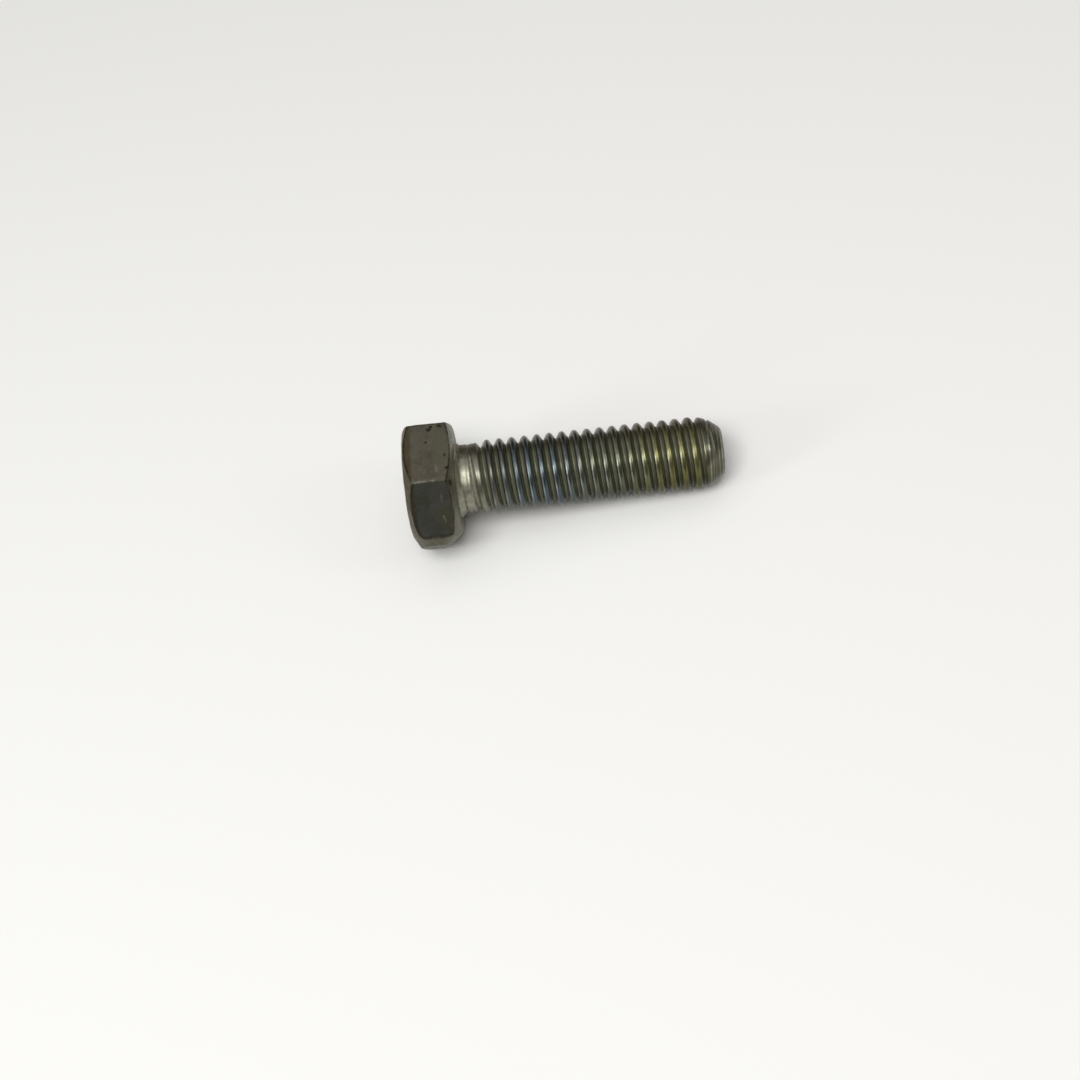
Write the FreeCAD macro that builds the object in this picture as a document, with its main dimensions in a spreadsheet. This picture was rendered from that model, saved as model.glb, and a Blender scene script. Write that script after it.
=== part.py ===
import FreeCAD, Part
import math
import os

import Sketcher

# Hexagon head screw, threaded almost up to its head, cold headed and thread rolled from one
# length of wire. In its own frame the shank points along +Z and the head's bearing face is at
# Z = 0. At the end it is laid down as it rests on a flat surface.

# Driving dimensions, in millimetres and degrees
SIZES = [
    ("shank_length", 21.1),
    ("thread_diameter", 5.85),
    ("thread_pitch", 1.0),
    ("thread_depth", 0.70),
    ("thread_angle", 60.0),
    ("first_root_height", 1.70),
    ("runout_turns", 0.75),
    ("runout_clearance", 0.05),
    ("neck_diameter", 5.46),
    ("neck_length", 1.25),
    ("neck_rise", 1.1),
    ("neck_flare", 0.4),
    ("tip_taper_length", 2.3),
    ("tip_shoulder_diameter", 5.16),
    ("tip_chamfer_length", 1.15),
    ("tip_diameter", 3.7),
    ("head_height", 4.0),
    ("across_flats", 9.6),
    ("hexagon_shift_down", 0.25),
    ("hexagon_shift_front", 0.34),
    ("blank_diameter", 11.1),
    ("bearing_circle", 8.2),
    ("bearing_chamfer_angle", 22.0),
    ("face_circle", 8.45),
    ("face_chamfer_angle", 30.0),
    ("thin_side_turn", 130.0),
    ("thin_side_axis", 8.0),
    ("thin_side_reach", 4.24),
    ("thin_side_height", 2.4),
    ("thin_side_angle", 35.8),
]

doc = FreeCAD.newDocument("hexagon_screw")

# The sheet of sizes
sheet = doc.addObject("Spreadsheet::Sheet", "sizes")
for row, (alias, number) in enumerate(SIZES, start=1):
    sheet.set(f"A{row}", alias)
    sheet.set(f"B{row}", str(number))
    sheet.setAlias(f"B{row}", alias)
doc.recompute()


class Measure:
    """A length or an angle together with the sheet formula that drives it."""

    def __init__(self, value, formula):
        self.value = value
        self.formula = formula

    def __add__(self, other):
        return Measure(self.value + other.value, f"({self.formula} + {other.formula})")

    def __sub__(self, other):
        return Measure(self.value - other.value, f"({self.formula} - {other.formula})")

    def __mul__(self, other):
        if isinstance(other, Measure):
            return Measure(self.value * other.value, f"({self.formula} * {other.formula})")
        return Measure(self.value * other, f"({self.formula} * {other})")

    def __truediv__(self, other):
        if isinstance(other, Measure):
            return Measure(self.value / other.value, f"({self.formula} / {other.formula})")
        return Measure(self.value / other, f"({self.formula} / {other})")

    def __neg__(self):
        return Measure(-self.value, f"(-1 * {self.formula})")

    def tangent(self):
        return Measure(math.tan(math.radians(self.value)), f"tan({self.formula} * 1deg)")


def size(alias):
    return Measure(getattr(sheet, alias), f"sizes.{alias}")


ZERO = Measure(0.0, "0")
WHOLE_TURN = 360.0


# Sketch helpers
def origin_plane(body, role):
    for feature in body.Origin.OriginFeatures:
        if feature.Role == role:
            return feature


def new_sketch(body, name, role):
    sketch = body.newObject("Sketcher::SketchObject", name)
    sketch.AttachmentSupport = [(origin_plane(body, role), "")]
    sketch.MapMode = "FlatFace"
    return sketch


def bind(sketch, constraint, measure):
    """Add a dimension and tie it to the sheet."""
    index = sketch.addConstraint(constraint)
    sketch.setExpression(f"Constraints[{index}]", measure.formula)


def closed_outline(sketch, points):
    """Close a loop of straight edges through the points, each point held by the sheet."""
    edges = []
    for number, start in enumerate(points):
        end = points[(number + 1) % len(points)]
        line = Part.LineSegment(
            FreeCAD.Vector(start[0].value, start[1].value, 0),
            FreeCAD.Vector(end[0].value, end[1].value, 0),
        )
        edges.append(sketch.addGeometry(line))
    for number, (across, up) in enumerate(points):
        edge = edges[number]
        sketch.addConstraint(Sketcher.Constraint("Coincident", edges[number - 1], 2, edge, 1))
        bind(sketch, Sketcher.Constraint("DistanceX", -1, 1, edge, 1, across.value), across)
        bind(sketch, Sketcher.Constraint("DistanceY", -1, 1, edge, 1, up.value), up)


def turned(body, kind, name, points):
    """A profile in the YZ plane, turned once round the shank's axis."""
    sketch = new_sketch(body, f"{name}_outline", "YZ_Plane")
    closed_outline(sketch, points)
    feature = body.newObject(kind, name)
    feature.Profile = sketch
    feature.ReferenceAxis = (sketch, ["V_Axis"])
    feature.Angle = WHOLE_TURN
    return feature


# The screw's body
screw = doc.addObject("PartDesign::Body", "hex_screw")
screw.Label = "hex_screw"

# Hexagon, trimmed a little off the shank's axis. One flat looks along +X, the side it rests on.
HEXAGON_CORNERS = 6
corner_step = WHOLE_TURN / HEXAGON_CORNERS
flat_to_axis = size("across_flats") / 2
corner_to_axis = flat_to_axis / math.cos(math.radians(corner_step / 2))
hexagon_sketch = new_sketch(screw, "hexagon_outline", "XY_Plane")
corners = []
for corner in range(HEXAGON_CORNERS):
    turn = math.radians(corner_step * (corner + 0.5))
    across = size("hexagon_shift_down") + corner_to_axis * math.cos(turn)
    up = corner_to_axis * math.sin(turn) - size("hexagon_shift_front")
    corners.append((across, up))
closed_outline(hexagon_sketch, corners)
hexagon = screw.newObject("PartDesign::Pad", "hexagon")
hexagon.Profile = hexagon_sketch
hexagon.Reversed = True
hexagon.setExpression("Length", size("head_height").formula)

# Round upset blank: its chamfered face, its side where it trims the fullest corners, and the
# chamfer on the bearing side
blank_radius = size("blank_diameter") / 2
face_radius = size("face_circle") / 2
bearing_radius = size("bearing_circle") / 2
top = -size("head_height")
clear = size("across_flats")
face_slope = size("face_chamfer_angle").tangent()
bearing_slope = size("bearing_chamfer_angle").tangent()
turned(
    screw,
    "PartDesign::Groove",
    "blank_trim",
    [
        (face_radius, top),
        (blank_radius, top + (blank_radius - face_radius) * face_slope),
        (blank_radius, -(blank_radius - bearing_radius) * bearing_slope),
        (bearing_radius, ZERO),
        (bearing_radius, clear),
        (clear, clear),
        (clear, top - clear),
        (face_radius, top - clear),
    ],
)

# The blank's thin side, which the upsetting did not fill: a shallow cone about an upright line
# beyond the far side of the shank cuts one lower corner away towards the bearing face
thin_radius = size("thin_side_axis") + size("thin_side_reach")
thin_height = size("thin_side_height")
thin_side = turned(
    screw,
    "PartDesign::Groove",
    "thin_side",
    [
        (thin_radius, ZERO),
        (thin_radius + thin_height * size("thin_side_angle").tangent(), -thin_height),
        (thin_radius + clear, -thin_height),
        (thin_radius + clear, ZERO),
    ],
)
thin_outline = thin_side.Profile[0]
to_axis = size("thin_side_axis").formula
axis_turn = size("thin_side_turn").formula
thin_outline.setExpression("AttachmentOffset.Base.x", f"{to_axis} * sin({axis_turn} * 1deg)")
thin_outline.setExpression("AttachmentOffset.Base.z", f"{to_axis} * cos({axis_turn} * 1deg)")

# Shank: flare under the head, plain neck at the wire's own diameter, rise to the crests, crests
# that fade towards the tip, tip chamfer
neck_radius = size("neck_diameter") / 2
crest_radius = size("thread_diameter") / 2
tip_radius = size("tip_diameter") / 2
length = size("shank_length")
whole_length = length - size("tip_taper_length")
turned(
    screw,
    "PartDesign::Revolution",
    "shank",
    [
        (ZERO, top / 2),
        (neck_radius + size("neck_flare"), top / 2),
        (neck_radius + size("neck_flare"), ZERO),
        (neck_radius, size("neck_flare")),
        (neck_radius, size("neck_length")),
        (crest_radius, size("neck_length") + size("neck_rise")),
        (crest_radius, whole_length),
        (size("tip_shoulder_diameter") / 2, length - size("tip_chamfer_length")),
        (tip_radius, length),
        (ZERO, length),
    ],
)

# Thread groove: two flanks led along a right-hand helix, from the neck to beyond the tip. The
# last part of a turn at the neck climbs out of the wire, as the rolling dies leave it.
pitch = size("thread_pitch")
depth = size("thread_depth")
root_height = size("first_root_height")
root_radius = crest_radius - depth
cutter_radius = crest_radius + depth
mouth_half = (cutter_radius - root_radius) * (size("thread_angle") / 2).tangent()


def helical_groove(name):
    sketch = new_sketch(screw, f"{name}_outline", "XZ_Plane")
    closed_outline(
        sketch,
        [
            (root_radius, root_height),
            (cutter_radius, root_height - mouth_half),
            (cutter_radius, root_height + mouth_half),
        ],
    )
    feature = screw.newObject("PartDesign::SubtractiveHelix", name)
    feature.Profile = sketch
    feature.ReferenceAxis = (sketch, ["V_Axis"])
    feature.LeftHanded = False
    return feature


groove = helical_groove("thread_groove")
groove.Mode = "pitch-height-angle"
groove.setExpression("Pitch", pitch.formula)
groove.setExpression("Height", (length - root_height + pitch).formula)

runout = helical_groove("thread_runout")
runout.Mode = "height-turns-growth"
runout.Reversed = True
climb = depth + size("runout_clearance")
runout.setExpression("Height", (pitch * size("runout_turns")).formula)
runout.setExpression("Turns", size("runout_turns").formula)
runout.setExpression("Growth", (climb / size("runout_turns")).formula)
doc.recompute()

# Rest pose: the lower flat's bearing edge and the last whole crest above the tip touch the
# ground, so the shank slopes down to its tip
seat = flat_to_axis + size("hexagon_shift_down")
seat_height = -(seat - bearing_radius) * bearing_slope
first_crest = root_height + pitch / 2
whole_pitches = math.floor((whole_length - first_crest).value / pitch.value)
last_crest = first_crest + pitch * whole_pitches
slope = math.degrees(math.atan2((seat - crest_radius).value, (last_crest - seat_height).value))
QUARTER_TURN = WHOLE_TURN / 4
laid_down = FreeCAD.Rotation(FreeCAD.Vector(0, 1, 0), QUARTER_TURN + slope)
screw.Placement = FreeCAD.Placement(FreeCAD.Vector(0, 0, 0), laid_down)
doc.recompute()

# The origin is under the middle of the screw, on the ground
reach = screw.Shape.optimalBoundingBox()
screw.Placement.Base = FreeCAD.Vector(-reach.Center.x, -reach.Center.y, -reach.ZMin)
doc.recompute()

# Every object has to come out whole before anything is written
for item in doc.Objects:
    if "Invalid" in item.State or "Error" in item.State:
        raise RuntimeError(f"{item.Name}: {item.State}")
if screw.Shape.isNull() or not screw.Shape.isValid():
    raise RuntimeError("hex_screw: no valid shape")

os.makedirs("parts", exist_ok=True)
screw.Shape.exportStep("parts/hex_screw.step")
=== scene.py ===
import math

import bmesh
import bpy
import numpy as np
from mathutils import Matrix, Vector


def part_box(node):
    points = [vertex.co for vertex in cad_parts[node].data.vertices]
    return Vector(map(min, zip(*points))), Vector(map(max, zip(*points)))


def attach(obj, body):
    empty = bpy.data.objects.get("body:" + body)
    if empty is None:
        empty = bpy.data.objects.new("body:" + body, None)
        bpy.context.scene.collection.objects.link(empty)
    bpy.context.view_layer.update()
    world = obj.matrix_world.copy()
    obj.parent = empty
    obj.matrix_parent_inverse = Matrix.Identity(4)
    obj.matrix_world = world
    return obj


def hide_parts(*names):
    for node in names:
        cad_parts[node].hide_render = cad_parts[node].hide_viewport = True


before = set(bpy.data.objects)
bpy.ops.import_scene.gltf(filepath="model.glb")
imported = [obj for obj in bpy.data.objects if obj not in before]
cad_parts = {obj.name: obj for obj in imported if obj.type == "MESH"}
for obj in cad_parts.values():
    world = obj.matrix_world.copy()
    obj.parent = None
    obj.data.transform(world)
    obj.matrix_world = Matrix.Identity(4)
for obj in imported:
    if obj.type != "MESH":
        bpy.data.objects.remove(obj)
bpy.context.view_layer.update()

# Threaded shank: steel wire, chamfered at its end and then rolled between flat dies, which press
# rounded roots into it and push the crests up out of it. The first groove runs out on the plain
# neck, and the crests fade towards the chamfered end.
MM = 0.001
FULL_TURN = 2 * math.pi
# Lengths are in millimetres and angles in degrees, up to where the screw is laid down
SHANK_LENGTH = 21.1
CREST_RADIUS = 2.925
NECK_RADIUS = 2.73
NECK_LENGTH = 1.25
NECK_RISE = 1.1
NECK_FILLET = 0.6
NECK_FILLET_RADIUS = 0.65
# Faint rings round the neck where the dies gripped it: height, depth and half-width
NECK_RINGS = [(0.40, 0.035, 0.13), (0.95, 0.030, 0.12)]
PITCH = 1.0
FLANK_ANGLE = 60.0
FIRST_ROOT = 1.70
RUNOUT_TURNS = 0.75
GROOVE_DEPTH = 0.62
GROOVE_DEPTH_AT_TIP = 0.54
ROOT_ROUNDING = 0.12
CREST_ROUNDING = 0.26
# The crests waver a little on their way round the shank
CREST_WAVER = 0.014
CREST_WAVES = 5.1
CREST_SEED = 1.0
# Rolling closes each crest from both sides and leaves a fine seam in it, which comes and goes
SEAM_DEPTH = 0.035
SEAM_HALF_WIDTH = 0.028
SEAM_WAVES = 9.0
SEAM_SEED = 3.0
SEAM_GAIN_TO_TIP = 0.3
# Distances from the tip's end and the radius left there: crests fade, then the end rounds over
TIP_OUTLINE = [
    (0.0, 1.72),
    (0.04, 1.83),
    (0.12, 1.93),
    (0.27, 2.06),
    (0.52, 2.26),
    (0.85, 2.50),
    (1.15, 2.66),
    (1.6, 2.81),
    (2.3, 2.96),
    (3.3, 3.3),
]
TIP_ROUNDING = 0.08
TIP_MASK_START = 0.04
TIP_MASK_WIDTH = 0.12
# The end face: its rings as shares of its radius, and how deep it is dished
END_RINGS = [0.975, 0.86, 0.6, 0.3]
END_DISH = 0.12
END_FACE_MASK = 0.5
# Slivers left in this band by the cut at the end are welded up
RIM_BAND = 0.05
RIM_WELD = 0.03
# The shank is one helical sheet that starts inside the head and is cut off at the end
COLUMNS_PER_TURN = 144
TURNS_IN_HEAD = 3
TURNS_PAST_END = 1.5
# Where the profile is sampled across one pitch, from one root to the next
GROOVE_SAMPLES = [0.0, 0.03, 0.07, 0.12, 0.18, 0.24, 0.30, 0.35, 0.40, 0.44, 0.475]
PROFILE = GROOVE_SAMPLES + [0.5] + [1 - share for share in reversed(GROOVE_SAMPLES[1:])]
# No groove is shallower than the first depth, and the masks fade below the second
LEAST_DEPTH = 0.002
MASK_DEPTH = 0.3
SHANK_MASKS = ["groove", "lean", "seam", "end"]
SHANK_MATERIAL = 1
# Three sine waves that add up to an irregular one: rate, shift for each seed and size, and
# then the sum of their sizes
WAVES = [(1.0, 1.7, 1.0), (2.31, 3.1, 0.6), (4.73, 5.3, 0.35)]
WAVES_TOTAL = 1.95


def soft_greater(a, b, blend):
    """The greater of two fields, with the edge between them rounded."""
    nearness = np.maximum(blend - np.abs(a - b), 0.0)
    return np.maximum(a, b) + nearness * nearness / (4 * blend)


def soft_lesser(a, b, blend):
    return -soft_greater(-a, -b, blend)


def ease(value):
    """Rise smoothly from 0 to 1 as the value does."""
    value = np.clip(value, 0.0, 1.0)
    return value * value * (3 - 2 * value)


def waver(value, seed):
    """A smooth irregular wave between about -1 and 1."""
    total = 0.0
    for rate, shift, size in WAVES:
        total = total + np.sin(value * rate + seed * shift) * size
    return total / WAVES_TOTAL


def wire_radius(height):
    """The rolled wire's radius with no groove in it: fillet, neck, rise to the crests."""
    radius = NECK_RADIUS + (CREST_RADIUS - NECK_RADIUS) * ease((height - NECK_LENGTH) / NECK_RISE)
    into_fillet = np.clip(NECK_FILLET - height, 0.0, NECK_FILLET)
    radius = radius + NECK_FILLET_RADIUS - np.sqrt(NECK_FILLET_RADIUS**2 - into_fillet**2)
    for ring_height, ring_depth, half_width in NECK_RINGS:
        radius = radius - ring_depth * np.exp(-(((height - ring_height) / half_width) ** 2))
    return radius


def groove_shape(distance, depth):
    """How deep the groove is at a distance from its root's centre."""
    flank = distance / math.tan(math.radians(FLANK_ANGLE / 2))
    flank = soft_greater(flank, ROOT_ROUNDING / 2, ROOT_ROUNDING)
    return depth - soft_lesser(flank, depth, CREST_ROUNDING)


# How much of a sharp root its rounding fills
ROOT_FILL = soft_greater(0.0, ROOT_ROUNDING / 2, ROOT_ROUNDING)

turns_in_all = TURNS_IN_HEAD + (SHANK_LENGTH - FIRST_ROOT) / PITCH + TURNS_PAST_END
columns = int(COLUMNS_PER_TURN * turns_in_all)
step = np.arange(columns)[:, None]
across = np.array(PROFILE)[None, :]
turns_run = step / COLUMNS_PER_TURN - TURNS_IN_HEAD
root_turn = turns_run + np.round(across)
height = FIRST_ROOT + PITCH * (turns_run + across)
angle = np.broadcast_to(FULL_TURN * step / COLUMNS_PER_TURN, height.shape)
to_tip = np.clip(height / SHANK_LENGTH, 0.0, 1.0)
depth = GROOVE_DEPTH + (GROOVE_DEPTH_AT_TIP - GROOVE_DEPTH) * to_tip
depth = np.maximum(depth * ease(1.0 + root_turn / RUNOUT_TURNS), LEAST_DEPTH)
sunk = groove_shape(np.abs(across - np.round(across)) * PITCH, depth)
crest_waver = CREST_WAVER * waver(root_turn * CREST_WAVES, CREST_SEED)
crest_waver = crest_waver * (1 - sunk / depth) * ease(root_turn)
seam_strength = 0.5 + 0.5 * waver(root_turn * SEAM_WAVES, SEAM_SEED) + SEAM_GAIN_TO_TIP * to_tip
seam = np.exp(-(((across - 0.5) * PITCH / SEAM_HALF_WIDTH) ** 2)) * ease(seam_strength)
radius = wire_radius(height) - sunk + crest_waver - SEAM_DEPTH * seam * ease(root_turn)
tip_distances, tip_radii = zip(*TIP_OUTLINE)
tip_limit = np.interp(SHANK_LENGTH - height, tip_distances, tip_radii)
on_thread = 1 - ease((radius - tip_limit + TIP_MASK_START) / TIP_MASK_WIDTH)
radius = soft_lesser(radius, tip_limit, TIP_ROUNDING)
mask_strength = ease(depth / MASK_DEPTH) * on_thread
# The groove mask runs from 0 on the crests to 1 in the roots. The lean mask is above zero on the
# flanks that face the head and below zero on those that face the tip.
groove_share = np.clip(sunk / np.maximum(depth - ROOT_FILL, LEAST_DEPTH / 2), 0.0, 1.0)
mask_values = [
    groove_share * mask_strength,
    np.sin(FULL_TURN * across) * mask_strength,
    seam * on_thread,
    1 - on_thread,
]

shank = bmesh.new()
shank_layers = [shank.verts.layers.float.new(name) for name in SHANK_MASKS]
end_layer = shank_layers[SHANK_MASKS.index("end")]
rows = []
for column in range(columns):
    row = []
    for place in range(len(PROFILE)):
        turned = angle[column, place]
        out = radius[column, place]
        spot = (out * math.cos(turned), out * math.sin(turned), height[column, place])
        vertex = shank.verts.new(spot)
        for layer, values in zip(shank_layers, mask_values):
            vertex[layer] = values[column, place]
        row.append(vertex)
    rows.append(row)
for column in range(columns - 1):
    here = list(rows[column])
    there = list(rows[column + 1])
    if column + 1 + COLUMNS_PER_TURN < columns:
        here.append(rows[column + COLUMNS_PER_TURN][0])
        there.append(rows[column + 1 + COLUMNS_PER_TURN][0])
    for place in range(len(here) - 1):
        shank.faces.new((here[place], there[place], there[place + 1], here[place + 1]))
everything = shank.verts[:] + shank.edges[:] + shank.faces[:]
bmesh.ops.bisect_plane(
    shank, geom=everything, plane_co=(0, 0, SHANK_LENGTH), plane_no=(0, 0, 1), clear_outer=True
)
band_start = SHANK_LENGTH - RIM_BAND
near_rim = [vertex for vertex in shank.verts if vertex.co.z > band_start]
bmesh.ops.remove_doubles(shank, verts=near_rim, dist=RIM_WELD)
rim = set()
for edge in shank.edges:
    if edge.is_boundary and all(vertex.co.z > band_start for vertex in edge.verts):
        rim.update(edge.verts)
rim = sorted(rim, key=lambda vertex: math.atan2(vertex.co.y, vertex.co.x))
for vertex in rim:
    vertex.co.z = SHANK_LENGTH
for share in END_RINGS:
    ring = []
    for vertex in rim:
        flat = Vector((vertex.co.x, vertex.co.y, 0)).normalized() * tip_radii[0] * share
        spot = (flat.x, flat.y, SHANK_LENGTH - END_DISH * math.sqrt(1 - share))
        ring.append(shank.verts.new(spot, vertex))
        ring[-1][end_layer] = END_FACE_MASK
    for place in range(len(rim)):
        shank.faces.new((rim[place - 1], rim[place], ring[place], ring[place - 1]))
    rim = ring
shank.faces.new(rim)
for face in shank.faces:
    face.material_index = SHANK_MATERIAL

# Hexagon head: upset from the same wire into a round blank, then trimmed to six flats by a die
# that ran a little off the shank's axis, so the lower corners keep the blank's round. Face and
# bearing side are chamfered, and handling has knocked and rubbed it.
HEAD_HEIGHT = 4.0
FLATS = 6
ACROSS_FLATS = 9.6
# How far the hexagon lies off the shank's axis
SHIFT_DOWN = 0.25
SHIFT_FRONT = 0.34
BLANK_RADIUS = 5.55
BEARING_RADIUS = 4.1
BEARING_CHAMFER = 22.0
FACE_RADIUS = 4.225
FACE_CHAMFER = 30.0
# The side that the blank didn't fill: a cone about an upright line beyond the shank's far side
THIN_TURN = 130.0
THIN_AXIS = 8.0
THIN_REACH = 4.24
THIN_ANGLE = 35.8
CORNER_ROUNDING = 0.16
CHAMFER_ROUNDING = 0.10
BLANK_ROUNDING = 0.40
# Knocks from handling: place on the head, reach and depth
KNOCKS = [
    ((-2.2, -5.0, -2.6), 0.35, 0.10),
    ((-4.7, 2.9, -3.3), 0.30, 0.08),
    ((-4.8, -1.6, -0.7), 0.22, 0.05),
    ((3.0, -4.4, -3.1), 0.40, 0.08),
    ((4.9, 1.9, -2.9), 0.30, 0.07),
    ((0.6, 5.2, -1.1), 0.35, 0.07),
]
# Slow waves over the surface, level near the bearing face: size, rates along X, Y and Z, seed
HEAD_WAVES = [(0.012, (1.3, 0.0, 2.2), 2.0), (0.010, (0.0, 1.7, -1.1), 5.0)]
LEVEL_AT_BEARING = 0.6
# How wide the masks of corners, of chamfer edges and of the flats' own edges are
CORNER_RUB_WIDTH = 0.22
DIRT_LINE_WIDTH = 0.16
FLAT_EDGE_WIDTH = 0.05
BEARING_MASK_START = 0.02
BEARING_MASK_WIDTH = 0.4
# The lower side flat gets painted shade, darker and cooler than the top one, and the side next
# to it a pale painted floor reflection: from and to which turn about the head, and how softly
# each starts
SHADED_LOWER_FLAT = (-151, -89, 2)
FLOOR_REFLECTION_SIDE = (-92, -28, 8)
REFLECTION_FROM_FACE = 0.1
REFLECTION_RISE = 0.8
# The head's outline from the middle of its face round to the neck, as radius and height, with
# how many rings run to each point
OUTLINE = [
    (0.3, -HEAD_HEIGHT, 1),
    (3.7, -HEAD_HEIGHT, 7),
    (4.5, -HEAD_HEIGHT + 0.15, 10),
    (5.4, -3.0, 12),
    (5.4, -1.0, 14),
    (4.9, -0.25, 10),
    (4.3, 0.0, 10),
    (2.6, 0.0, 4),
]
# Columns lie close together at the six corners
SIDE_TURN = 360.0 / FLATS
CORNER_COLUMNS = [0.0, 0.5, 1.0, 1.5, 2.1, 2.9, 4.0, 5.6, 7.8, 10.6, 14.0, 18.0, 22.0, 26.0]
# The surface is found by halving the way along rays that reach beyond the outline
RAY_REACH = 2.0
HALVINGS = 30


def cone(points, at_radius, at_height, slope, outward):
    """How far points lie outside a chamfer cone round the shank's axis."""
    from_axis = np.hypot(points[:, 0], points[:, 1])
    tilt = math.radians(slope)
    rise = outward * (points[:, 2] - at_height)
    return (from_axis - at_radius) * math.sin(tilt) + rise * math.cos(tilt)


def head_fields(points):
    """How far points lie outside the head, and its masks of corners, chamfer edges and flats."""
    sides = []
    for flat in range(FLATS):
        turned = FULL_TURN * flat / FLATS
        reach = ACROSS_FLATS / 2 + SHIFT_DOWN * math.cos(turned) - SHIFT_FRONT * math.sin(turned)
        sides.append(points[:, 0] * math.cos(turned) + points[:, 1] * math.sin(turned) - reach)
    hexagon = sides[0]
    for side in sides[1:]:
        hexagon = soft_greater(hexagon, side, CORNER_ROUNDING)
    blank = np.hypot(points[:, 0], points[:, 1]) - BLANK_RADIUS
    thin_turn = math.radians(THIN_TURN)
    thin_tilt = math.radians(THIN_ANGLE)
    from_thin_axis = np.hypot(
        points[:, 0] - THIN_AXIS * math.cos(thin_turn),
        points[:, 1] - THIN_AXIS * math.sin(thin_turn),
    )
    thin = (from_thin_axis - THIN_AXIS - THIN_REACH) * math.cos(thin_tilt)
    thin = thin + points[:, 2] * math.sin(thin_tilt)
    face_cone = cone(points, FACE_RADIUS, -HEAD_HEIGHT, FACE_CHAMFER, -1)
    bearing_cone = cone(points, BEARING_RADIUS, 0.0, BEARING_CHAMFER, 1)
    rounds = soft_greater(soft_greater(blank, face_cone, BLANK_ROUNDING), thin, BLANK_ROUNDING)
    rounds = soft_greater(rounds, bearing_cone, CHAMFER_ROUNDING)
    past_face = -points[:, 2] - HEAD_HEIGHT
    past_bearing = points[:, 2]
    outside = hexagon
    for field in (rounds, past_face, past_bearing):
        outside = soft_greater(outside, field, CHAMFER_ROUNDING)
    uneven = 0.0
    for size, rates, seed in HEAD_WAVES:
        uneven = uneven + size * waver((points * np.array(rates)).sum(axis=1), seed)
    outside = outside + uneven * ease(-points[:, 2] / LEVEL_AT_BEARING)
    for place, reach, deep in KNOCKS:
        gap = ((points - np.array(place)) ** 2).sum(axis=1)
        outside = outside + deep * np.exp(-gap / (reach * reach))
    ranked = np.sort(np.stack(sides), axis=0)
    corner = np.clip(1 - (ranked[-1] - ranked[-2]) / CORNER_RUB_WIDTH, 0.0, 1.0)
    corner = corner * (ranked[-1] > rounds)
    chamfer_edge = np.clip(1 - np.abs(ranked[-1] - rounds) / DIRT_LINE_WIDTH, 0.0, 1.0)
    others = np.maximum(rounds, np.maximum(past_face, past_bearing))
    on_flat = ease(1 + (ranked[-1] - others) / FLAT_EDGE_WIDTH)
    return outside, corner, chamfer_edge, on_flat


def between(value, low, high, fade):
    """1 between two turns about the head, fading to 0 at each."""
    return ease((value - low) / fade) * ease((high - value) / fade)


outline = [OUTLINE[0][:2]]
for (r_from, h_from, _), (r_to, h_to, count) in zip(OUTLINE, OUTLINE[1:]):
    for part in range(1, count + 1):
        share = part / count
        outline.append((r_from + (r_to - r_from) * share, h_from + (h_to - h_from) * share))
sector = CORNER_COLUMNS + [SIDE_TURN / 2]
sector = sector + [SIDE_TURN - offset for offset in reversed(CORNER_COLUMNS[1:])]
turns = np.radians([SIDE_TURN * (flat + 0.5) + offset for flat in range(FLATS) for offset in sector])
ring_count = len(outline)
per_ring = len(turns)
heart = np.array([SHIFT_DOWN, -SHIFT_FRONT, -HEAD_HEIGHT / 2])
ring_radius = np.array([point[0] for point in outline])[:, None]
ring_height = np.array([point[1] for point in outline])[:, None]
aim = np.stack(
    [
        ring_radius * np.cos(turns) + heart[0],
        ring_radius * np.sin(turns) + heart[1],
        np.broadcast_to(ring_height, (ring_count, per_ring)),
    ],
    axis=-1,
).reshape(-1, 3)
ray = aim - heart
inner = np.zeros(len(ray))
outer = np.full(len(ray), RAY_REACH)
for _ in range(HALVINGS):
    halfway = (inner + outer) / 2
    outside = head_fields(heart + ray * halfway[:, None])[0]
    outer = np.where(outside > 0, halfway, outer)
    inner = np.where(outside > 0, inner, halfway)
surface = heart + ray * inner[:, None]
_, corner, chamfer_edge, on_flat = head_fields(surface)
around = np.degrees(np.arctan2(surface[:, 1] - heart[1], surface[:, 0] - heart[0]))
above_face = surface[:, 2] + HEAD_HEIGHT - REFLECTION_FROM_FACE
head_masks = {
    "corner": corner,
    "chamfer_edge": chamfer_edge,
    "bearing_side": ease(1.0 + (surface[:, 2] + BEARING_MASK_START) / BEARING_MASK_WIDTH),
    # Painted shade: the lower side flat is made darker and cooler
    "shaded_lower_flat": between(around, *SHADED_LOWER_FLAT) * on_flat,
    # Painted floor reflection: a pale band on the side beside the lower flat
    "floor_reflection_side": between(around, *FLOOR_REFLECTION_SIDE) * ease(above_face / REFLECTION_RISE),
}

head = bmesh.new()
head_layers = [head.verts.layers.float.new(name) for name in head_masks]
grid = []
for number, spot in enumerate(surface):
    vertex = head.verts.new(spot)
    for layer, values in zip(head_layers, head_masks.values()):
        vertex[layer] = values[number]
    grid.append(vertex)
for ring in range(ring_count - 1):
    for place in range(per_ring):
        after = (place + 1) % per_ring
        head.faces.new(
            (
                grid[ring * per_ring + place],
                grid[(ring + 1) * per_ring + place],
                grid[(ring + 1) * per_ring + after],
                grid[ring * per_ring + after],
            )
        )
head.faces.new([grid[place] for place in range(per_ring)])
bmesh.ops.triangulate(head, faces=[face for face in head.faces if len(face.verts) > 4])
bmesh.ops.recalc_face_normals(head, faces=head.faces)
bmesh.ops.recalc_face_normals(shank, faces=shank.faces)

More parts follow.
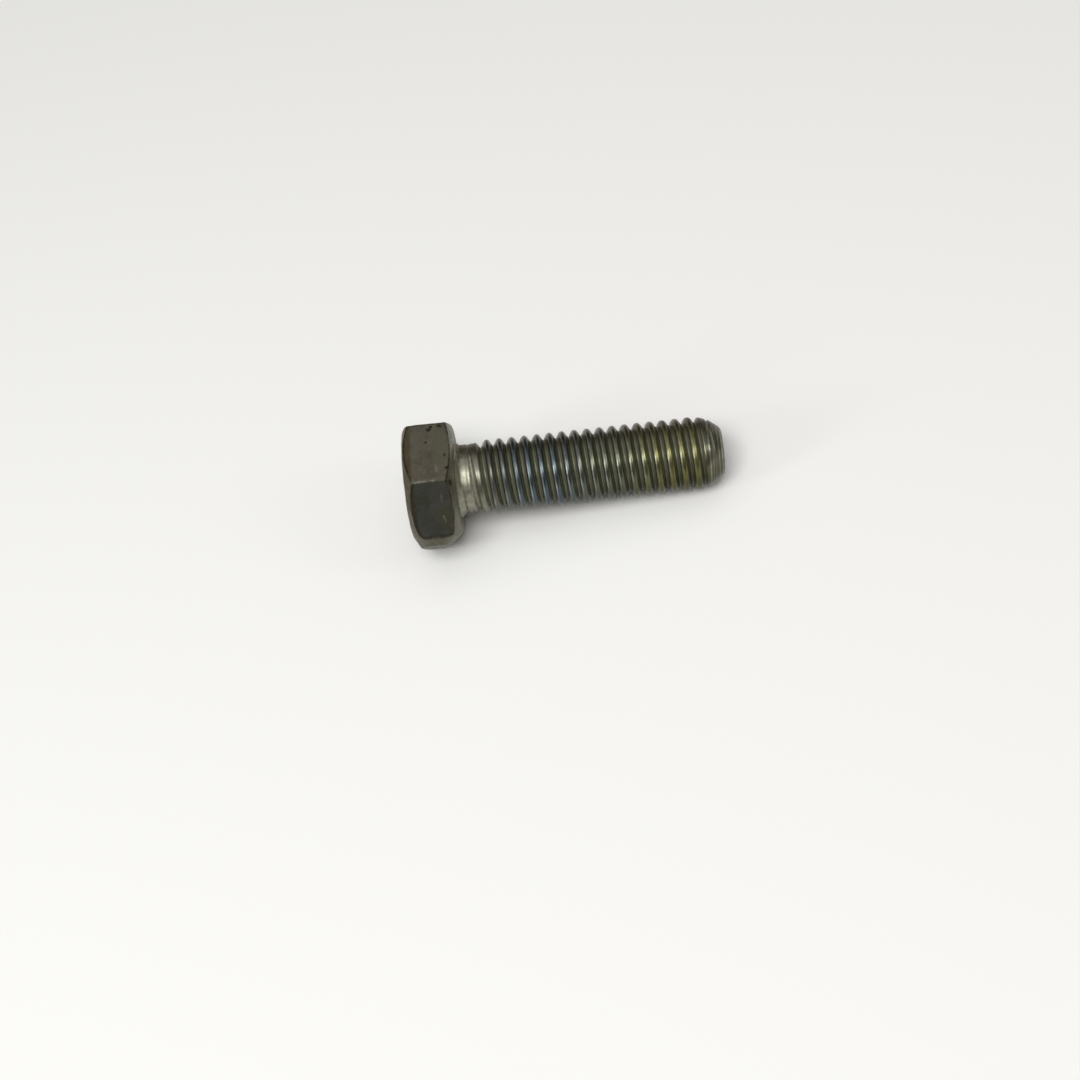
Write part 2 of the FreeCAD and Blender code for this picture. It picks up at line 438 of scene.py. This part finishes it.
# Head and shank are one piece of steel: joined, laid down as the screw rests and set on the
# ground. It rests on the lower flat's bearing edge and the last crest before the faded ones.
FADED_LENGTH = 2.3
both = bmesh.new()
for part, name in ((head, "head"), (shank, "shank")):
    mesh = bpy.data.meshes.new(name)
    part.to_mesh(mesh)
    part.free()
    both.from_mesh(mesh)
    bpy.data.meshes.remove(mesh)
seat = ACROSS_FLATS / 2 + SHIFT_DOWN
seat_height = -(seat - BEARING_RADIUS) * math.tan(math.radians(BEARING_CHAMFER))
first_crest = FIRST_ROOT + PITCH / 2
last_whole = math.floor((SHANK_LENGTH - FADED_LENGTH - first_crest) / PITCH)
last_crest = first_crest + PITCH * last_whole
slope = math.atan2(seat - CREST_RADIUS, last_crest - seat_height)
laid_down = Matrix.Rotation(math.pi / 2 + slope, 4, "Y") @ Matrix.Scale(MM, 4)
bmesh.ops.transform(both, matrix=laid_down, verts=both.verts)
screw_mesh = bpy.data.meshes.new("hexagon_screw")
both.to_mesh(screw_mesh)
both.free()
places = np.zeros(len(screw_mesh.vertices) * 3)
screw_mesh.vertices.foreach_get("co", places)
places = places.reshape(-1, 3)
low = places.min(axis=0)
high = places.max(axis=0)
cad_low, cad_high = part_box("hex_screw")
middle = (cad_low + cad_high) / 2
lift = Vector((middle.x - (low[0] + high[0]) / 2, middle.y - (low[1] + high[1]) / 2, -low[2]))
screw_mesh.transform(Matrix.Translation(lift))
screw_mesh.shade_smooth()
screw = bpy.data.objects.new("hexagon_screw", screw_mesh)
bpy.context.scene.collection.objects.link(screw)
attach(screw, "root")
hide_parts("hex_screw")

# Zinc plate on head and thread alike: a thin bright coat that has dulled and stained in
# blotches, with a fine grit. Each noise is given as scale, detail, roughness and distortion.
BROAD_BLOTCHES = (420.0, 3.0, 0.6, 0.4)
FINE_BLOTCHES = (2600.0, 5.0, 0.7, 0.0)
GRIT = (9000.0, 3.0, 0.6, 0.0)
STAIN_BLOTCHES = (700.0, 4.0, 0.6, 0.8)
BROAD_SHARE = 0.6
FINE_SHARE = 0.4
DULLING_GAIN = 0.5
DULL_RANGE = (0.60, 0.90)
STAINING_GAIN = 0.4
STAIN_RANGE = (0.58, 0.85)
GRIT_RANGE = (0.25, 0.75)
GRIT_SHADES = (0.86, 1.14)
DULL_ROUGHNESS = 0.18
GRIT_ROUGHNESS = 0.12
FINE_HEIGHT = 0.7
GRIT_HEIGHT = 0.3
# Where a Mix node keeps its sockets for colours
MIX_SHARE = 0
MIX_FIRST = 6
MIX_SECOND = 7
MIX_RESULT = 2


def new_group(name, inputs, outputs):
    group = bpy.data.node_groups.new(name, "ShaderNodeTree")
    for label, kind, default in inputs:
        socket = group.interface.new_socket(label, in_out="INPUT", socket_type=kind)
        socket.default_value = default
    for label, kind in outputs:
        group.interface.new_socket(label, in_out="OUTPUT", socket_type=kind)
    return group


def feed(tree, socket, value):
    """Give a socket a value, or link another node's socket to it."""
    if isinstance(value, bpy.types.NodeSocket):
        tree.links.new(value, socket)
    else:
        socket.default_value = value


def add(tree, kind, settings=None, **inputs):
    """Add a node; inputs are named, or numbered as _0 and _1, and take a value or a socket."""
    node = tree.nodes.new(kind)
    for key, value in (settings or {}).items():
        setattr(node, key, value)
    for label, value in inputs.items():
        place = int(label[1:]) if label[1:].isdigit() else label.replace("_", " ")
        feed(tree, node.inputs[place], value)
    return node


def blend_colours(tree, share, first, second, mode="MIX"):
    node = add(tree, "ShaderNodeMix", {"data_type": "RGBA", "blend_type": mode})
    feed(tree, node.inputs[MIX_SHARE], share)
    feed(tree, node.inputs[MIX_FIRST], first)
    feed(tree, node.inputs[MIX_SECOND], second)
    return node.outputs[MIX_RESULT]


def steps(tree, value, low_end, high_end, low_value=0.0, high_value=1.0):
    """Go smoothly from the low value to the high one as the value goes between its ends."""
    node = add(
        tree,
        "ShaderNodeMapRange",
        {"interpolation_type": "SMOOTHSTEP"},
        Value=value,
        From_Min=low_end,
        From_Max=high_end,
        To_Min=low_value,
        To_Max=high_value,
    )
    return node.outputs[0]


def joined(tree, operation, first, *others):
    """Join values one after another by a Math node's operation."""
    for other in others:
        node = add(tree, "ShaderNodeMath", {"operation": operation}, _0=first, _1=other)
        first = node.outputs[0]
    return first


def times(tree, *values):
    return joined(tree, "MULTIPLY", *values)


def plus(tree, *values):
    return joined(tree, "ADD", *values)


def noise(tree, where, scale, detail, roughness, distortion):
    node = add(tree, "ShaderNodeTexNoise", Vector=where, Scale=scale, Detail=detail)
    feed(tree, node.inputs["Roughness"], roughness)
    feed(tree, node.inputs["Distortion"], distortion)
    return node.outputs[0]


mottle = new_group(
    "mottled_plating",
    [
        ("Pale", "NodeSocketColor", (0.1, 0.1, 0.08, 1)),
        ("Dull", "NodeSocketColor", (0.04, 0.04, 0.03, 1)),
        ("Stain", "NodeSocketColor", (0.06, 0.06, 0.03, 1)),
        ("Dulling", "NodeSocketFloat", 0.5),
        ("Staining", "NodeSocketFloat", 0.3),
    ],
    [("Color", "NodeSocketColor"), ("Roughness", "NodeSocketFloat"), ("Height", "NodeSocketFloat")],
)
inlet = mottle.nodes.new("NodeGroupInput").outputs
outlet = mottle.nodes.new("NodeGroupOutput").inputs
where = mottle.nodes.new("ShaderNodeTexCoord").outputs["Object"]
broad = noise(mottle, where, *BROAD_BLOTCHES)
fine = noise(mottle, where, *FINE_BLOTCHES)
grit = noise(mottle, where, *GRIT)
blotches = plus(mottle, times(mottle, broad, BROAD_SHARE), times(mottle, fine, FINE_SHARE))
blotches = plus(mottle, times(mottle, inlet["Dulling"], DULLING_GAIN), blotches)
dulled = steps(mottle, blotches, *DULL_RANGE)
stain_noise = noise(mottle, where, *STAIN_BLOTCHES)
stain_noise = plus(mottle, times(mottle, inlet["Staining"], STAINING_GAIN), stain_noise)
stained = steps(mottle, stain_noise, *STAIN_RANGE)
tone = blend_colours(mottle, dulled, inlet["Pale"], inlet["Dull"])
tone = blend_colours(mottle, stained, tone, inlet["Stain"])
grit_shade = steps(mottle, grit, *GRIT_RANGE, *GRIT_SHADES)
shade = add(mottle, "ShaderNodeCombineColor", _0=grit_shade, _1=grit_shade, _2=grit_shade)
tone = blend_colours(mottle, 1.0, tone, shade.outputs[0], "MULTIPLY")
mottle.links.new(tone, outlet["Color"])
dull_rough = steps(mottle, dulled, 0.0, 1.0, 0.0, DULL_ROUGHNESS)
rough = plus(mottle, dull_rough, times(mottle, grit, GRIT_ROUGHNESS))
mottle.links.new(rough, outlet["Roughness"])
relief = plus(mottle, times(mottle, fine, FINE_HEIGHT), times(mottle, grit, GRIT_HEIGHT))
mottle.links.new(relief, outlet["Height"])


def plated_material(name, roughness, bump, **plate):
    """Start a material from the mottled plating; plate holds the group's own inputs."""
    material = bpy.data.materials.new(name)
    material.use_nodes = True
    tree = material.node_tree
    shader = tree.nodes["Principled BSDF"]
    plating = add(tree, "ShaderNodeGroup", {"node_tree": mottle}, **plate)
    bumped = add(tree, "ShaderNodeBump", Height=plating.outputs["Height"], Distance=bump)
    tree.links.new(bumped.outputs[0], shader.inputs["Normal"])
    rough = plus(tree, plating.outputs["Roughness"], roughness)
    return material, tree, shader, plating.outputs["Color"], rough


def painted(tree, name):
    """A mask kept on the mesh."""
    return add(tree, "ShaderNodeAttribute", {"attribute_name": name}).outputs["Fac"]


def vector_maths(tree, operation, first, second):
    return add(tree, "ShaderNodeVectorMath", {"operation": operation}, _0=first, _1=second)


def laid_over(tree, colour, tint, mask, strength=1.0):
    """Lay a tint over a colour where a mask is."""
    return blend_colours(tree, times(tree, mask, strength), colour, tint)


def shaded(tree, colour, shade, mask):
    """Multiply a colour by a shade where a mask is."""
    return blend_colours(tree, mask, colour, blend_colours(tree, 1.0, colour, shade, "MULTIPLY"))


# The head's plating: dull grey, with painted shade making the lower side flat darker and cooler
# and a pale painted floor reflection beside it, creamy on the bearing side, with dirt in its edges,
# stains, scuffs and dark spots on the two sides seen from the front, painted shade near the ground
# and a brown film towards its face.
HEAD_PALE = (0.150, 0.134, 0.100, 1)
HEAD_DULL = (0.085, 0.080, 0.062, 1)
HEAD_STAIN = (0.085, 0.088, 0.050, 1)
# Painted shade that makes the lower side flat darker and cooler
COOL_PAINTED_SHADE = (0.50, 0.545, 0.62, 1)
# Painted floor reflection on the side beside the lower flat
PAINTED_FLOOR_REFLECTION = (0.105, 0.107, 0.078, 1)
SCUFF = (0.21, 0.205, 0.165, 1)
RUBBED_CORNER = (0.16, 0.15, 0.12, 1)
CORNER_DIRT = (0.030, 0.026, 0.018, 1)
CREAM_FILM = (0.20, 0.197, 0.148, 1)
EDGE_DIRT = (0.022, 0.018, 0.012, 1)
# Painted shade, darker near the ground
HEAD_PAINTED_SHADE_LOW = (0.74, 0.73, 0.62, 1)
BROWN_SHADE = (0.72, 0.65, 0.52, 1)
DARK_SPOT = (0.018, 0.014, 0.009, 1)
HEAD_METALLIC = 0.85
PATCHES = (1500.0, 4.0, 0.6, 0.0)
PATCHY_RANGE = (0.38, 0.62)
BREAKS = (900.0, 5.0, 0.7, 0.0)
BROKEN_RANGE = (0.36, 0.58)
# From where to where each mask is felt
RUBBED_RANGE = (0.3, 0.9)
CORNER_DIRT_RANGE = (0.45, 0.85)
EDGE_DIRT_RANGE = (0.25, 0.8)
# In metres: heights over the ground, and places along the shank's axis from the origin
# Heights of the painted shade near the ground
HEAD_SHADE_HEIGHTS = (0.0060, 0.0040)
FACE_FILM_PLACES = (-0.01200, -0.01225)
# A noise pushes the marks' outlines about, by up to half of this many metres
RAGGED_SCALE = 2400.0
RAGGED_DETAIL = 3.0
RAGGED_PUSH = 0.00045
HALF_GREY = (0.5, 0.5, 0.5)
# A mark fades in from its reach and is full at this share of it
MARK_CORE = 0.55
# Marks: middle and reach, in millimetres as the screw lies, and for a stain its tint and strength
STAINS = [
    ((-8.85, 0.3, 9.6), (0.75, 2.6, 1.0), (0.115, 0.125, 0.075, 1), 0.55),
    ((-9.1, -4.5, 7.0), (0.9, 0.6, 1.1), (0.070, 0.068, 0.036, 1), 0.6),
]
SCUFFS = [
    ((-9.12, -2.0, 9.7), (0.13, 0.75, 0.4)),
    ((-9.36, -2.74, 9.7), (0.30, 0.14, 0.3)),
    ((-9.15, -3.66, 8.4), (0.10, 0.30, 0.5)),
    ((-9.25, -4.60, 6.75), (0.10, 0.30, 0.45)),
    ((-11.0, -2.72, 9.8), (0.16, 0.16, 0.2)),
    ((-10.45, -2.74, 9.8), (0.14, 0.14, 0.2)),
]
DARK_SPOTS = [
    ((-9.60, 2.00, 9.75), (0.30, 0.26, 0.3)),
    ((-9.42, 2.25, 9.75), (0.16, 0.20, 0.3)),
    ((-8.72, 2.27, 9.65), (0.26, 0.20, 0.3)),
    ((-9.88, 0.75, 9.80), (0.14, 0.12, 0.2)),
    ((-8.47, -0.58, 9.62), (0.14, 0.16, 0.2)),
    ((-8.30, -1.80, 9.55), (0.20, 0.24, 0.3)),
    ((-8.30, -2.80, 9.00), (0.24, 0.30, 0.4)),
]


def mark(tree, where, middle, reach):
    """One mark: 1 in its middle, fading to 0 at its reach."""
    centre = [value * MM for value in middle]
    shrink = [1 / (value * MM) for value in reach]
    offset = vector_maths(tree, "SUBTRACT", where, centre).outputs[0]
    scaled = vector_maths(tree, "MULTIPLY", offset, shrink).outputs[0]
    far = add(tree, "ShaderNodeVectorMath", {"operation": "LENGTH"}, _0=scaled)
    return steps(tree, far.outputs["Value"], 1.0, MARK_CORE)


def marks(tree, where, places):
    return joined(tree, "MAXIMUM", *[mark(tree, where, *place) for place in places])


head_metal, tree, shader, colour, rough = plated_material(
    "head_plating",
    roughness=0.36,
    bump=0.00001,
    Pale=HEAD_PALE,
    Dull=HEAD_DULL,
    Stain=HEAD_STAIN,
    Dulling=0.40,
    Staining=0.25,
)
tree.links.new(rough, shader.inputs["Roughness"])
shader.inputs["Metallic"].default_value = HEAD_METALLIC
corner, chamfer_edge, bearing_side, shaded_lower_flat, floor_reflection_side = [
    painted(tree, name) for name in head_masks
]
where = tree.nodes.new("ShaderNodeTexCoord").outputs["Object"]
placed = add(tree, "ShaderNodeSeparateXYZ", Vector=where).outputs
patchy = steps(tree, noise(tree, where, *PATCHES), *PATCHY_RANGE)
broken = steps(tree, noise(tree, where, *BREAKS), *BROKEN_RANGE)
ragged = add(tree, "ShaderNodeTexNoise", Vector=where, Scale=RAGGED_SCALE, Detail=RAGGED_DETAIL)
push = vector_maths(tree, "SUBTRACT", ragged.outputs[1], HALF_GREY).outputs[0]
push = vector_maths(tree, "MULTIPLY", push, [RAGGED_PUSH] * 3).outputs[0]
ragged_where = vector_maths(tree, "ADD", where, push).outputs[0]
# Painted shade on the lower side flat
colour = shaded(tree, colour, COOL_PAINTED_SHADE, shaded_lower_flat)
# Painted floor reflection beside the lower flat
colour = laid_over(tree, colour, PAINTED_FLOOR_REFLECTION, floor_reflection_side, strength=0.75)
for middle, reach, tint, strength in STAINS:
    colour = laid_over(tree, colour, tint, mark(tree, ragged_where, middle, reach), strength)
scuffed = times(tree, marks(tree, ragged_where, SCUFFS), patchy)
colour = laid_over(tree, colour, SCUFF, scuffed, strength=0.75)
rubbed = times(tree, steps(tree, corner, *RUBBED_RANGE), patchy)
colour = laid_over(tree, colour, RUBBED_CORNER, rubbed, strength=0.45)
dirty_corner = times(tree, steps(tree, corner, *CORNER_DIRT_RANGE), broken)
colour = laid_over(tree, colour, CORNER_DIRT, dirty_corner, strength=0.75)
colour = laid_over(tree, colour, CREAM_FILM, bearing_side, strength=0.85)
dirty_edge = times(tree, steps(tree, chamfer_edge, *EDGE_DIRT_RANGE), broken)
colour = laid_over(tree, colour, EDGE_DIRT, dirty_edge, strength=0.85)
# Painted shade: the head is darker near the ground
low_painted_shade = steps(tree, placed["Z"], *HEAD_SHADE_HEIGHTS)
colour = shaded(tree, colour, HEAD_PAINTED_SHADE_LOW, low_painted_shade)
shank_axis = (math.cos(slope), 0.0, -math.sin(slope))
along_axis = vector_maths(tree, "DOT_PRODUCT", where, shank_axis).outputs["Value"]
colour = shaded(tree, colour, BROWN_SHADE, steps(tree, along_axis, *FACE_FILM_PLACES))
spotted = marks(tree, ragged_where, DARK_SPOTS)
colour = laid_over(tree, colour, DARK_SPOT, spotted, strength=0.85)
tree.links.new(colour, shader.inputs["Base Color"])

# The thread's plating: polished crests, bluish near the head, then greenish, then yellowish, a
# dull film in the roots, a painted shadow line beside it on the flank that faces the tip and a
# painted highlight line at the top of the flank that faces the head, shown only at the heights
# where the lamp's highlight falls. Neck and tip are clean, and painted shade darkens the thread
# low down and at the back.
THREAD_PALE = (0.118, 0.114, 0.086, 1)
THREAD_DULL = (0.066, 0.061, 0.043, 1)
THREAD_STAIN = (0.075, 0.070, 0.032, 1)
PLAIN_CREST = (0.120, 0.118, 0.096, 1)
# Tints of the polished crests: between which places in metres each comes up, and its colour
CREST_TINTS = [
    ((-0.0065, -0.0025), (0.070, 0.104, 0.134, 1)),
    ((-0.0010, 0.0030), (0.110, 0.124, 0.088, 1)),
    ((0.0035, 0.0085), (0.200, 0.194, 0.070, 1)),
]
ROOT_FILM = (0.160, 0.165, 0.112, 1)
# Painted shadow: a dark line near the root on the flank that faces the tip
PAINTED_ROOT_SHADOW = (0.014, 0.013, 0.008, 1)
# Painted highlight: a pale line at the top of the flank that faces the head
PAINTED_FLANK_HIGHLIGHT = (0.42, 0.42, 0.38, 1)
CLEAN_TIP = (0.150, 0.150, 0.120, 1)
TIP_GLINT = (0.50, 0.50, 0.43, 1)
CLEAN_NECK = (0.34, 0.335, 0.262, 1)
# Painted shade, darker low down
THREAD_PAINTED_SHADE_LOW = (0.36, 0.36, 0.28, 1)
# Painted shade, darker and browner at the back
BACK_PAINTED_SHADE = (0.34, 0.27, 0.19, 1)
SEAM_DIRT = (0.030, 0.027, 0.018, 1)
CREST_METALLIC = 0.94
FILM_METALLIC = 0.45
NECK_ROUGHNESS = 0.12
STREAKS = (2200.0, 3.0, 0.6, 0.0)
STREAK_RANGE = (0.35, 0.70)
STREAK_SHARES = (0.55, 1.0)
GLINT_SCALE = 5200.0
GLINT_RANGE = (0.52, 0.62)
# From where to where each mask is felt: crest and root on the groove mask, and for the lines
# where they come up and go on the groove mask, and on the lean mask
CREST_RANGE = (0.42, 0.24)
ROOT_RANGE = (0.34, 0.52)
# The painted shadow line near the root on the flank that faces the tip
ROOT_SHADOW_RANGES = ((0.50, 0.60), (0.92, 0.82), (-0.15, -0.40))
# The painted highlight line at the top of the flank that faces the head
FLANK_HIGHLIGHT_RANGES = ((0.02, 0.05), (0.20, 0.14), (0.2, 0.45))
SEAM_DIRT_RANGE = (0.45, 0.9)
# In metres as the screw lies
NECK_PLACES = (-0.0055, -0.0070)
# Heights where the painted highlight line shows, where the lamp's highlight falls
FLANK_HIGHLIGHT_HEIGHTS = (0.0036, 0.0056)
# Heights of the painted shade low down on the thread
THREAD_SHADE_HEIGHTS = (0.0052, 0.0026)
# Places of the painted shade at the back of the thread
BACK_PLACES = (-0.0002, 0.0018)

thread_metal, tree, shader, colour, rough = plated_material(
    "thread_plating",
    roughness=0.23,
    bump=0.0000025,
    Pale=THREAD_PALE,
    Dull=THREAD_DULL,
    Stain=THREAD_STAIN,
    Dulling=0.35,
    Staining=0.30,
)
groove_mask, lean_mask, seam_mask, end_mask = [painted(tree, name) for name in SHANK_MASKS]
where = tree.nodes.new("ShaderNodeTexCoord").outputs["Object"]
placed = add(tree, "ShaderNodeSeparateXYZ", Vector=where).outputs
along_axis = vector_maths(tree, "DOT_PRODUCT", where, shank_axis).outputs["Value"]
streaks = steps(tree, noise(tree, where, *STREAKS), *STREAK_RANGE, *STREAK_SHARES)
rings = add(tree, "ShaderNodeTexNoise", {"noise_dimensions": "1D"}, W=along_axis, Scale=GLINT_SCALE)
glints = times(tree, steps(tree, rings.outputs[0], *GLINT_RANGE), streaks)


def flank_line(tree, come, go, lean):
    """A line along one flank, from where it comes up on the groove mask to where it goes."""
    in_band = times(tree, steps(tree, groove_mask, *come), steps(tree, groove_mask, *go))
    return times(tree, in_band, steps(tree, lean_mask, *lean), streaks)


neck = steps(tree, placed["X"], *NECK_PLACES)
rough = plus(tree, rough, times(tree, neck, NECK_ROUGHNESS))
tree.links.new(rough, shader.inputs["Roughness"])
polished = PLAIN_CREST
for places, tint in CREST_TINTS:
    polished = blend_colours(tree, steps(tree, placed["X"], *places), polished, tint)
on_crest = times(tree, steps(tree, groove_mask, *CREST_RANGE), streaks)
colour = laid_over(tree, colour, polished, on_crest)
in_root = steps(tree, groove_mask, *ROOT_RANGE)
colour = laid_over(tree, colour, ROOT_FILM, in_root)
metallic = steps(tree, in_root, 0.0, 1.0, CREST_METALLIC, FILM_METALLIC)
tree.links.new(metallic, shader.inputs["Metallic"])
# Painted shadow near the root on the flank that faces the tip
root_shadow_line = flank_line(tree, *ROOT_SHADOW_RANGES)
colour = laid_over(tree, colour, PAINTED_ROOT_SHADOW, root_shadow_line, strength=0.92)
# Painted highlight, only at the heights where the lamp's highlight falls
lit = steps(tree, placed["Z"], *FLANK_HIGHLIGHT_HEIGHTS)
flank_highlight_line = times(tree, flank_line(tree, *FLANK_HIGHLIGHT_RANGES), lit)
colour = laid_over(tree, colour, PAINTED_FLANK_HIGHLIGHT, flank_highlight_line)
colour = laid_over(tree, colour, CLEAN_TIP, end_mask, strength=0.8)
colour = laid_over(tree, colour, TIP_GLINT, times(tree, end_mask, glints))
colour = laid_over(tree, colour, CLEAN_NECK, times(tree, neck, streaks))
# Painted shade: the thread is darker low down
colour = shaded(tree, colour, THREAD_PAINTED_SHADE_LOW, steps(tree, placed["Z"], *THREAD_SHADE_HEIGHTS))
# Painted shade: the thread is darker and browner at the back
colour = shaded(tree, colour, BACK_PAINTED_SHADE, steps(tree, placed["Y"], *BACK_PLACES))
dirty_seam = steps(tree, seam_mask, *SEAM_DIRT_RANGE)
colour = laid_over(tree, colour, SEAM_DIRT, dirty_seam, strength=0.6)
tree.links.new(colour, shader.inputs["Base Color"])
screw_mesh.materials.append(head_metal)
screw_mesh.materials.append(thread_metal)

# Floor: a plain pale sheet, matt, larger than any view
FLOOR_HALF = 3.0
FLOOR_LOOKS = {"Base Color": (0.84, 0.84, 0.83, 1), "Roughness": 0.9, "Specular IOR Level": 0.1}
floor_mesh = bpy.data.meshes.new("floor")
floor_mesh.from_pydata(
    [
        (-FLOOR_HALF, -FLOOR_HALF, 0),
        (FLOOR_HALF, -FLOOR_HALF, 0),
        (FLOOR_HALF, FLOOR_HALF, 0),
        (-FLOOR_HALF, FLOOR_HALF, 0),
    ],
    [],
    [(0, 1, 2, 3)],
)
floor = bpy.data.objects.new("floor", floor_mesh)
bpy.context.scene.collection.objects.link(floor)
paper = bpy.data.materials.new("pale_floor")
paper.use_nodes = True
for label, value in FLOOR_LOOKS.items():
    paper.node_tree.nodes["Principled BSDF"].inputs[label].default_value = value
floor_mesh.materials.append(paper)

# Light: a room with a pale ceiling and darker walls, a soft lamp over the near side, a small
# cool one low beyond the head and a weaker, warmer one beyond the tip
ROOM_WALLS = (0.12, 0.11, 0.09, 1)
ROOM_CEILING = (0.78, 0.78, 0.78, 1)
CEILING_RANGE = (0.55, 0.95)
LAMP_TARGET = (0, 0, 0.004)
# Name, place, width, length, power in watts and tint
LAMPS = [
    ("near_lamp", (-0.04, -0.17, 0.35), 0.24, 0.16, 1.05, (1.0, 0.99, 0.97)),
    ("head_side_lamp", (-0.26, -0.09, 0.13), 0.05, 0.10, 0.14, (0.9, 0.96, 1.0)),
    ("tip_side_lamp", (0.28, -0.08, 0.20), 0.06, 0.10, 0.07, (1.0, 1.0, 0.94)),
]
world = bpy.data.worlds.new("room")
bpy.context.scene.world = world
world.use_nodes = True
room = world.node_tree
direction = room.nodes.new("ShaderNodeTexCoord").outputs["Generated"]
upward = add(room, "ShaderNodeSeparateXYZ", Vector=direction).outputs["Z"]
room_colour = blend_colours(room, steps(room, upward, *CEILING_RANGE), ROOM_WALLS, ROOM_CEILING)
room.links.new(room_colour, room.nodes["Background"].inputs["Color"])
for name, place, width, length, power, tint in LAMPS:
    lamp = bpy.data.lights.new(name, "AREA")
    lamp.shape = "RECTANGLE"
    lamp.size = width
    lamp.size_y = length
    lamp.energy = power
    lamp.color = tint
    holder = bpy.data.objects.new(name, lamp)
    holder.location = place
    towards = Vector(LAMP_TARGET) - Vector(place)
    holder.rotation_euler = towards.to_track_quat("-Z", "Y").to_euler()
    bpy.context.scene.collection.objects.link(holder)

# Camera at the photograph's angle: square to the shank's axis a little short of its middle, rolled
# so that the shank rises to the right, and swung so that the screw stands where it does there
ELEVATION = 53.9
SHANK_RISE = 6.25
DISTANCE = 0.143
FOCAL_PIXELS = 1795.0
PICTURE_PIXELS = 1080.0
SENSOR = 36.0
NEAREST = 0.005
SQUARE_ON = 9.28
AIM_RIGHT = 34.2
AIM_UP = 73.2
lift_angle = math.radians(ELEVATION)
turn = math.asin(math.tan(slope) * math.tan(lift_angle))
back = Vector(
    (
        math.sin(turn) * math.cos(lift_angle),
        -math.cos(turn) * math.cos(lift_angle),
        math.sin(lift_angle),
    )
)
square_on = laid_down @ Vector((0, 0, SQUARE_ON)) + lift
facing = back.to_track_quat("Z", "Y").to_matrix()
axis_in_view = facing.transposed() @ (laid_down.to_3x3() @ Vector((0, 0, 1)))
roll = math.radians(SHANK_RISE) - math.atan2(axis_in_view.y, axis_in_view.x)
rolled = facing @ Matrix.Rotation(-roll, 3, "Z")
seen_at = Vector((AIM_RIGHT, AIM_UP, -FOCAL_PIXELS)).normalized()
swing = seen_at.rotation_difference(Vector((0, 0, -1))).to_matrix()
camera_data = bpy.data.cameras.new("camera")
camera_data.sensor_width = SENSOR
camera_data.lens = FOCAL_PIXELS * SENSOR / PICTURE_PIXELS
camera_data.clip_start = NEAREST
camera = bpy.data.objects.new("camera", camera_data)
camera.matrix_world = Matrix.Translation(square_on + back * DISTANCE) @ (rolled @ swing).to_4x4()
bpy.context.scene.collection.objects.link(camera)
bpy.context.scene.camera = camera
bpy.context.scene.view_settings.view_transform = "Standard"
